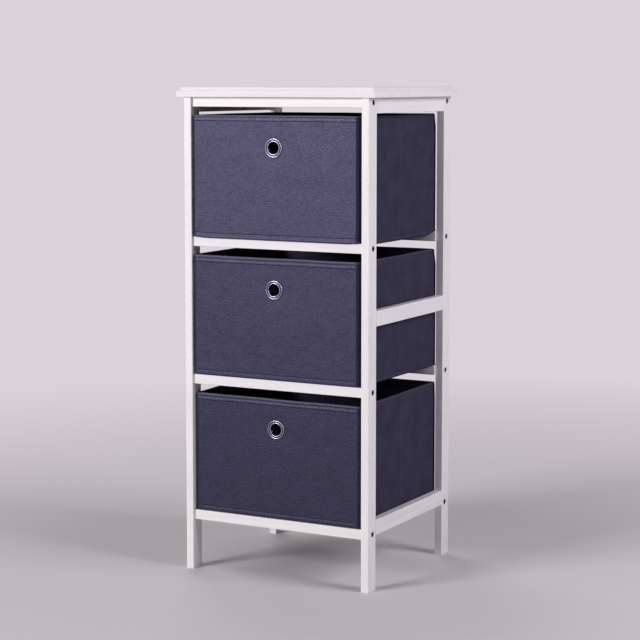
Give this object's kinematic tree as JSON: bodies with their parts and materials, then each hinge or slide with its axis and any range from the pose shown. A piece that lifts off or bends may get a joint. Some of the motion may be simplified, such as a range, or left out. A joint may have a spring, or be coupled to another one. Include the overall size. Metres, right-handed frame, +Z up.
{
  "type": "storage shelf with storage boxes",
  "caption": "Narrow white wooden frame shelf with open ladder sides that holds stacked dark fabric boxes, each pulled out by a metal eyelet.",
  "frame": {"origin": "on the floor under the middle of the shelf", "axes": "+Z up, front of the shelf at -Y, +X to the right of someone who faces the front"},
  "size_m": [0.409, 0.354, 0.9],
  "materials": {
    "painted_wood": "white satin paint on pine",
    "box_fabric": "matte non-woven cloth",
    "box_board": "grey board",
    "eyelet_metal": "polished",
    "washer_metal": "plain",
    "bolt_steel": "satin zinc",
    "insert_zinc": "zinc plated",
    "dowel_wood": "bare beech"
  },
  "bodies": {
    "frame": {"front_bottom_rail": "painted_wood", "front_left_post": "painted_wood", "front_lower_rail": "painted_wood", "front_right_post": "painted_wood", "front_top_rail": "painted_wood", "front_upper_rail": "painted_wood", "left_bottom_side_rail": "painted_wood", "left_frame_bolts": "bolt_steel", "left_middle_side_rail": "painted_wood", "left_rail_inserts": "insert_zinc", "left_side_frame_dowels": "dowel_wood", "left_top_side_rail": "painted_wood", "rear_bottom_rail": "painted_wood", "rear_left_post": "painted_wood", "rear_lower_rail": "painted_wood", "rear_right_post": "painted_wood", "rear_top_rail": "painted_wood", "rear_upper_rail": "painted_wood", "right_bottom_side_rail": "painted_wood", "right_frame_bolts": "bolt_steel", "right_middle_side_rail": "painted_wood", "right_rail_inserts": "insert_zinc", "right_side_frame_dowels": "dowel_wood", "right_top_side_rail": "painted_wood", "top_board": "painted_wood", "top_board_screws": "bolt_steel"},
    "bottom_box": {"bottom_box_cover": "box_fabric", "bottom_box_eyelet": "eyelet_metal", "bottom_box_eyelet_washer": "washer_metal", "bottom_box_front_board": "box_board", "bottom_box_rear_board": "box_board", "bottom_box_side_boards": "box_board"},
    "bottom_base_insert": {"bottom_box_base_insert": "box_board"},
    "middle_box": {"middle_box_cover": "box_fabric", "middle_box_eyelet": "eyelet_metal", "middle_box_eyelet_washer": "washer_metal", "middle_box_front_board": "box_board", "middle_box_rear_board": "box_board", "middle_box_side_boards": "box_board"},
    "middle_base_insert": {"middle_box_base_insert": "box_board"},
    "top_box": {"top_box_cover": "box_fabric", "top_box_eyelet": "eyelet_metal", "top_box_eyelet_washer": "washer_metal", "top_box_front_board": "box_board", "top_box_rear_board": "box_board", "top_box_side_boards": "box_board"},
    "top_base_insert": {"top_box_base_insert": "box_board"}
  },
  "joints": [
    {"name": "bottom_box_slide", "type": "slide", "parent": "frame", "child": "bottom_box", "axis": [0, -1, 0], "range_m": [0, 0.34]},
    {"name": "bottom_insert_lift", "type": "slide", "parent": "bottom_box", "child": "bottom_base_insert", "axis": [0, 0, 1], "range_m": [0, 0.2]},
    {"name": "middle_box_slide", "type": "slide", "parent": "frame", "child": "middle_box", "axis": [0, -1, 0], "range_m": [0, 0.34]},
    {"name": "middle_insert_lift", "type": "slide", "parent": "middle_box", "child": "middle_base_insert", "axis": [0, 0, 1], "range_m": [0, 0.2]},
    {"name": "top_box_slide", "type": "slide", "parent": "frame", "child": "top_box", "axis": [0, -1, 0], "range_m": [0, 0.34]},
    {"name": "top_insert_lift", "type": "slide", "parent": "top_box", "child": "top_base_insert", "axis": [0, 0, 1], "range_m": [0, 0.2]}
  ]
}
